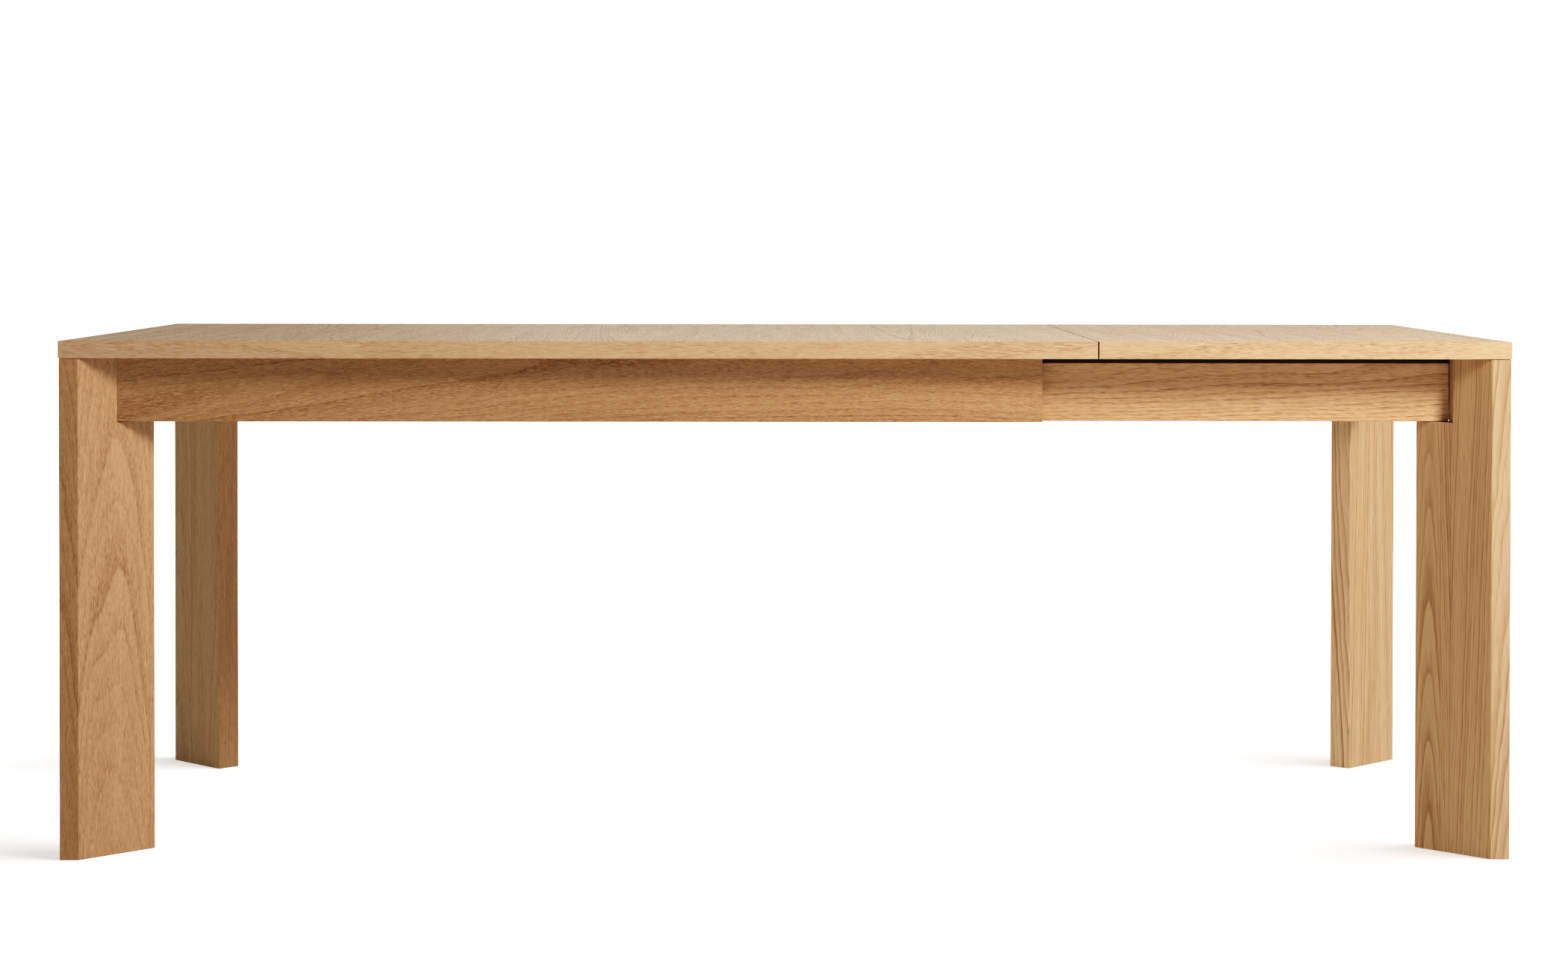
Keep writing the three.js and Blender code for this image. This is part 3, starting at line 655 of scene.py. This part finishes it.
def slide_fittings(side, sign, zinc, bright):
    """What holds one slide and runs in it, with the screws of the cleat and rail beside it."""
    outer_low, outer_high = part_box(f"slide_outer_{side}")
    middle_low, middle_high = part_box(f"slide_middle_{side}")
    inner_low, inner_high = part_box(f"slide_inner_{side}")
    rail_low, rail_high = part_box(f"carrier_rail_{side}")
    cleat_low, cleat_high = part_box(f"leaf_cleat_{side}")
    out = Vector((0, sign, 0))
    level = (outer_low.z + outer_high.z) / 2
    # the face of the inner apron's back, which the slide stands on
    back = max(abs(inner_low.y), abs(inner_high.y)) * sign
    web = min(abs(outer_low.y), abs(outer_high.y)) * sign + SLIDE_SHEET * sign
    along = steps(outer_low.x + SLIDE_SCREW_IN, outer_high.x - SLIDE_SCREW_IN, SLIDE_SCREWS)
    places = [(x, web, level) for x in along]
    screws(f"slide_outer_screws_{side}", "left_frame", places, out, zinc, **SLIDE_SCREW)
    along = steps(inner_low.x + INNER_SCREW_IN, inner_high.x - SLIDE_SCREW_IN, SLIDE_SCREWS)
    places = [(x, back - SLIDE_SHEET * sign, level) for x in along]
    screws(f"slide_inner_screws_{side}", "end_frame", places, -out, zinc, **SLIDE_SCREW)
    cleat_back = min(abs(cleat_low.y), abs(cleat_high.y)) * sign
    along = steps(cleat_low.x + CLEAT_SCREW_IN, cleat_high.x - CLEAT_SCREW_IN, CLEAT_SCREWS)
    places = [(x, cleat_back, cleat_low.z + CLEAT_SCREW_UP) for x in along]
    screws(f"leaf_cleat_screws_{side}", "end_frame", places, -out, zinc, **CLEAT_SCREW)
    middle = (rail_low.y + rail_high.y) / 2
    along = steps(rail_low.x + RAIL_SCREW_IN, rail_high.x - RAIL_SCREW_IN, RAIL_SCREWS)
    places = [(x, middle, rail_low.z) for x in along]
    screws(f"carrier_rail_screws_{side}", "left_frame", places, DOWN, zinc, **RAIL_SCREW)
    runs = {
        "outer": (middle_low.x + CAGE_START, outer_high.x - CAGE_END),
        "inner": (inner_low.x + CAGE_END, middle_high.x - CAGE_END),
    }
    for row, run in runs.items():
        reach, ball, aside = CAGES[row]
        rows = (level - aside, level + aside)
        y = back - reach * sign
        ball_cage(f"ball_cage_{row}_{side}", f"slide_middle_{side}", run, y, rows, ball, bright)
    latch = recessed_latch_screw(f"latch_screw_{side}", zinc)
    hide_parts(f"latch_screw_{side}")


def add_fittings():
    zinc = steel("screw_steel", *SCREW)
    bright = steel("ball_steel", *BALL)
    for side, sign in (("front", -1), ("rear", 1)):
        slide_fittings(side, sign, zinc, bright)
    for place in ("left", "middle", "right"):
        low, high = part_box(f"cross_rail_{place}")
        across = steps(-CROSS_SCREW_SIDE, CROSS_SCREW_SIDE, CROSS_SCREWS)
        places = [((low.x + high.x) / 2, y, low.z) for y in across]
        screws(f"cross_rail_screws_{place}", "left_frame", places, DOWN, zinc, **RAIL_SCREW)
    low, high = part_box("tail_rail")
    in_x, in_y = TAIL_SCREW_IN
    places = [(x, y, low.z) for y in (low.y + in_y, high.y - in_y) for x in (low.x + in_x, high.x - in_x)]
    screws("tail_rail_screws", "end_frame", places, DOWN, zinc, **TAIL_SCREW)
    for corner in ("left_front", "left_rear", "right_front", "right_rear"):
        block_screws(corner, zinc)


def block_screws(corner, material):
    """Two screws in the inner face of a corner block, one to each side of the leg bolt."""
    low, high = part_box(f"{corner}_corner_block")
    level = (low.z + high.z) / 2
    along = Vector((-1 if "right" in corner else 1, -1 if "rear" in corner else 1, 0)).normalized()
    across = Vector((-along.y, along.x, 0))
    block = NODES[f"{corner}_corner_block"]
    points = [block.matrix_world @ vertex.co for vertex in block.data.vertices]
    face = max(point.dot(along) for point in points)
    on_face = [point.dot(across) for point in points if point.dot(along) > face - FLATNESS]
    left, right = min(on_face), max(on_face)
    places = []
    for share in BLOCK_SCREWS:
        place = along * face + across * (left + (right - left) * share)
        places.append((place.x, place.y, level))
    body = "end_frame" if "right" in corner else "left_frame"
    screws(f"{corner}_block_screws", body, places, along, material, **RAIL_SCREW)


def recessed_latch_screw(node, material):
    """The latch's pivot screw, with the cross recess that the CAD leaves out."""
    low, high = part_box(node)
    radius = (high.x - low.x) / 2
    base = low.z + LATCH_HEAD
    profile = [(share * radius, tall * LATCH_HEAD) for share, tall in PAN_HEAD]
    profile += [(LATCH_SHANK, 0), (LATCH_SHANK, base - high.z)]
    middle = ((low.x + high.x) / 2, (low.y + high.y) / 2, base)
    bm = bmesh.new()
    add_turned(bm, middle, DOWN, profile, recess=LATCH_HEAD * LATCH_RECESS_DEPTH)
    return build(f"{node}_recessed", bm, "left_frame", material)


add_fittings()


# Floor, light and camera

# The lights, each with its place, aim, size and power in watts
KEY = ((2.2, -2.4, 2.4), (0.4, -0.4, 0.6), (1.0, 1.0), 88)
REAR = ((0.5, 3.4, 2.2), (0, 0, 0.7), (3.0, 1.6), 24)
FLOOR_KEY = ((13, -1.2, 20), (0, 0, 0), (16, 16), 5200)

# The floor's reach each way, and its colour to the camera and to the light that it sends back
FLOOR_REACH = 14
FLOOR_SEEN = 0xF4F4F2
FLOOR_UNSEEN = 0xA0A09E

# Glow of the floor under the table, and between which distances it rises to WORLD_SEEN
FLOOR_GLOW = 0.42
FLOOR_FADE = (1.5, 3.2)

# Light that the floor sends back at the left and at the right end
FLOOR_BOUNCE = (0.19, 0.44)

# Strength of the white surroundings to the camera, in reflections and as a fill
WORLD_SEEN = 1.3
WORLD_GLOSS = 0.9
WORLD_FILL = 0.1

CAMERA_AT = Vector((-0.0098, -5.068, 0.9172))
CAMERA_YAW = -0.0091
CAMERA_PITCH = -0.015
CAMERA_ROLL = 0.0012
CAMERA_LENS = 72.24
CAMERA_SHIFT = (-0.0157, -0.1263)
CAMERA_SENSOR = 36

# The tone curve: how steep it is, the light around which it bends over, and where its points are
CONTRAST = 1.6
PIVOT = 0.57
CURVE_STEPS = (0.04, 0.1, 0.2, 0.35, 0.55, 0.8)


def look_at(obj, target):
    obj.rotation_euler = (Vector(target) - obj.location).to_track_quat("-Z", "Y").to_euler()


def area_light(name, at, aim, size, power, lights=None, shaded_by=None):
    """A soft light, which can light one collection only, and cast one collection's shadows."""
    data = bpy.data.lights.new(name, "AREA")
    data.shape, data.size, data.size_y = "RECTANGLE", *size
    data.energy = power
    light = bpy.data.objects.new(name, data)
    light.location = at
    look_at(light, aim)
    light.visible_camera = False
    light.light_linking.receiver_collection = lights
    light.light_linking.blocker_collection = shaded_by
    bpy.context.scene.collection.objects.link(light)


def add_floor():
    mesh = bpy.data.meshes.new("floor")
    signs = ((-1, -1), (1, -1), (1, 1), (-1, 1))
    corners = [(x * FLOOR_REACH, y * FLOOR_REACH, 0) for x, y in signs]
    mesh.from_pydata(corners, [], [(0, 1, 2, 3)])
    floor = bpy.data.objects.new("floor", mesh)
    bpy.context.scene.collection.objects.link(floor)
    g = Graph("floor", Roughness=0.9)
    seen = Value(g, g.add("LightPath").outputs["Is Camera Ray"])
    g.feed(g.shader.inputs["Base Color"], g.mix(seen, linear(FLOOR_UNSEEN), linear(FLOOR_SEEN)))
    g.shader.inputs["Emission Color"].default_value = (1, 1, 1, 1)
    x, y, _ = g.place()
    away = g.math("SQRT", x * x + y * y)
    glow = g.eased(away, *FLOOR_FADE, FLOOR_GLOW, WORLD_SEEN)
    bounce = g.eased(x, -HALF_LENGTH, HALF_LENGTH, *FLOOR_BOUNCE)
    g.feed(g.shader.inputs["Emission Strength"], g.between(seen, bounce, glow))
    mesh.materials.append(g.material)
    return floor


def add_lights(floor):
    """The key light leaves the floor out, and the floor's own light casts the legs' shadows only."""
    only_floor, all_but_floor = [bpy.data.collections.new(name) for name in ("floor_only", "table_only")]
    only_floor.objects.link(floor)
    # a collection that only leaves an object out lets the light reach all the others
    all_but_floor.objects.link(floor)
    all_but_floor.collection_objects[0].light_linking.link_state = "EXCLUDE"
    legs = bpy.data.collections.new("floor_shadows")
    for name in LEGS:
        legs.objects.link(NODES[name])
    area_light("floor_key", *FLOOR_KEY, lights=only_floor, shaded_by=legs)
    area_light("key", *KEY, lights=all_but_floor)
    area_light("rear", *REAR)


def add_world():
    """A white studio, brightest straight to the camera and dim as a fill."""
    world = bpy.data.worlds.new("studio")
    bpy.context.scene.world = world
    world.use_nodes = True
    tree = world.node_tree
    background = tree.nodes["Background"]
    path = tree.nodes.new("ShaderNodeLightPath")
    unseen, seen = [tree.nodes.new("ShaderNodeMapRange") for _ in range(2)]
    tree.links.new(path.outputs["Is Diffuse Ray"], unseen.inputs["Value"])
    unseen.inputs["To Min"].default_value = WORLD_GLOSS
    unseen.inputs["To Max"].default_value = WORLD_FILL
    tree.links.new(path.outputs["Is Camera Ray"], seen.inputs["Value"])
    tree.links.new(unseen.outputs[0], seen.inputs["To Min"])
    seen.inputs["To Max"].default_value = WORLD_SEEN
    background.inputs["Color"].default_value = (1, 1, 1, 1)
    tree.links.new(seen.outputs[0], background.inputs["Strength"])


def develop():
    """A photograph's contrast: darker shades drop away and light ones roll off."""
    view = bpy.context.scene.view_settings
    view.view_transform = "Standard"
    view.use_curve_mapping = True
    mapping = view.curve_mapping
    curve = mapping.curves[3]
    for share in CURVE_STEPS:
        curve.points.new(share, contrasted(share))
    mapping.update()


def contrasted(light):
    """An S-shaped curve through 0 and 1."""
    return light**CONTRAST * (1 + PIVOT**CONTRAST) / (light**CONTRAST + PIVOT**CONTRAST)


def add_camera():
    data = bpy.data.cameras.new("camera")
    data.lens, data.sensor_width = CAMERA_LENS, CAMERA_SENSOR
    data.shift_x, data.shift_y = CAMERA_SHIFT
    camera = bpy.data.objects.new("camera", data)
    turn = Matrix.Rotation(CAMERA_YAW, 4, "Z") @ Matrix.Rotation(math.pi / 2 + CAMERA_PITCH, 4, "X")
    camera.matrix_world = Matrix.Translation(CAMERA_AT) @ turn @ Matrix.Rotation(CAMERA_ROLL, 4, "Z")
    bpy.context.scene.collection.objects.link(camera)
    bpy.context.scene.camera = camera


add_lights(add_floor())
add_world()
develop()
add_camera()
